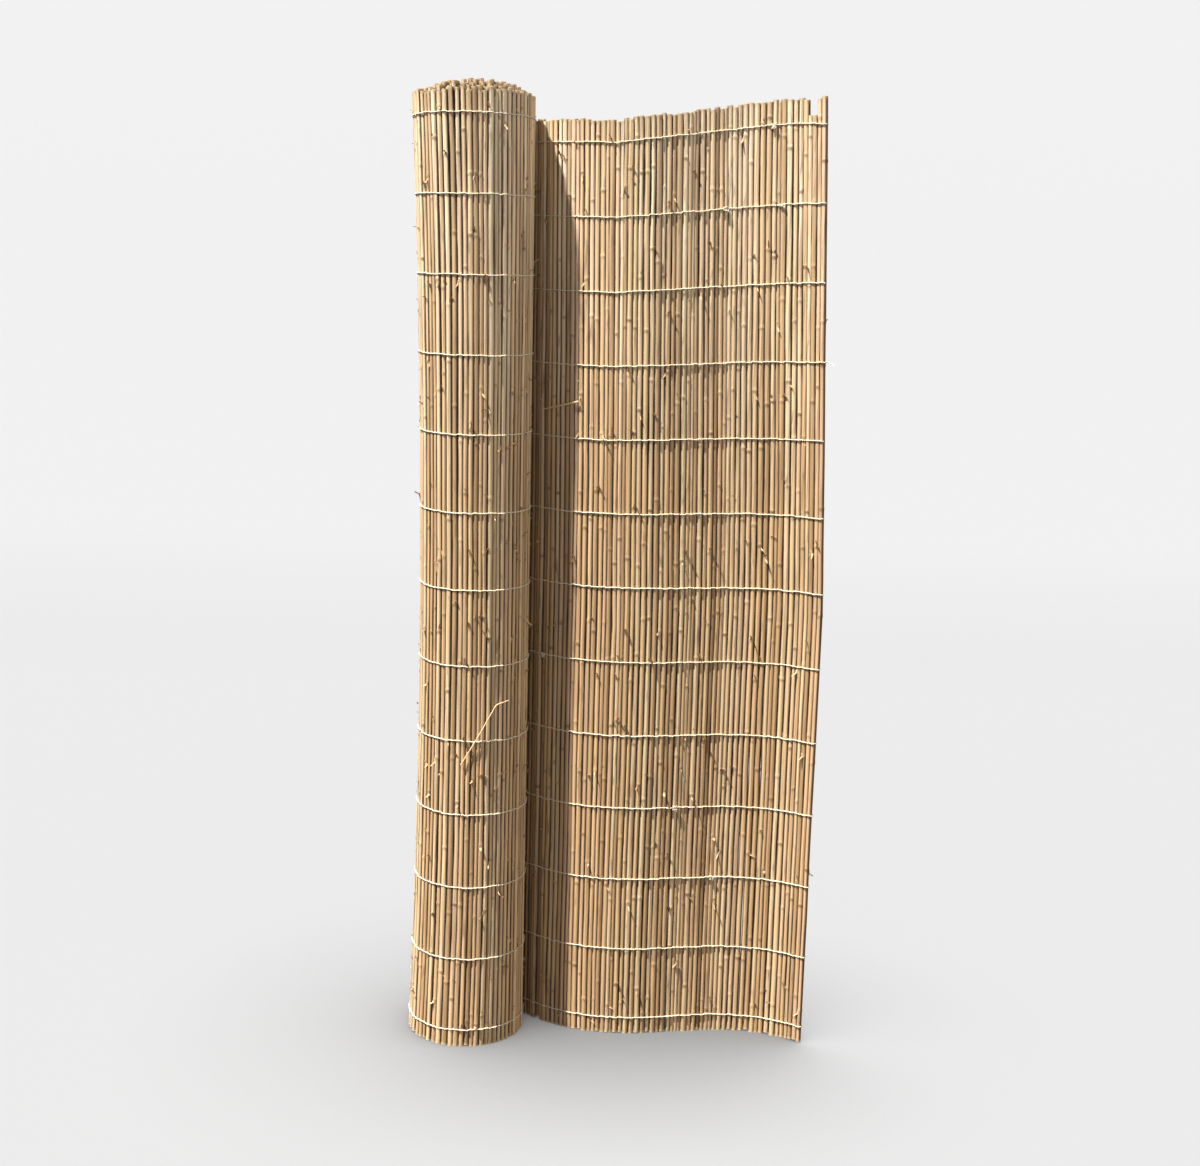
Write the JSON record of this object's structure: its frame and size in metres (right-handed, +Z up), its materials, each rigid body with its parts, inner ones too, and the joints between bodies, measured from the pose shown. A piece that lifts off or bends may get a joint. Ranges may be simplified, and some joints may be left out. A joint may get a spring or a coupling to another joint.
{
  "type": "reed privacy fence roll",
  "caption": "Reed screening mat standing on end, partly unrolled from its roll, with level rows of twine binding the upright canes for a privacy fence.",
  "frame": {"origin": "on the ground under the middle of the whole mat, roll and unrolled stretch together", "axes": "+Z up along the reeds, +X from the roll towards the free edge, -Y the side that faces the viewer"},
  "size_m": [0.6462, 0.1914, 1.52],
  "materials": {
    "reed": "peeled natural reed, semi-matt",
    "twine": "undyed spun twine",
    "straw": "dry split straw"
  },
  "bodies": {
    "root": {"reed_mat": "reed", "binding_twine_01": "twine", "binding_twine_02": "twine", "binding_twine_03": "twine", "binding_twine_04": "twine", "binding_twine_05": "twine", "binding_twine_06": "twine", "binding_twine_07": "twine", "binding_twine_08": "twine", "binding_twine_09": "twine", "binding_twine_10": "twine", "binding_twine_11": "twine", "binding_twine_12": "twine", "binding_twine_13": "twine", "roll_straw": "straw", "panel_straw": "straw"}
  },
  "joints": []
}
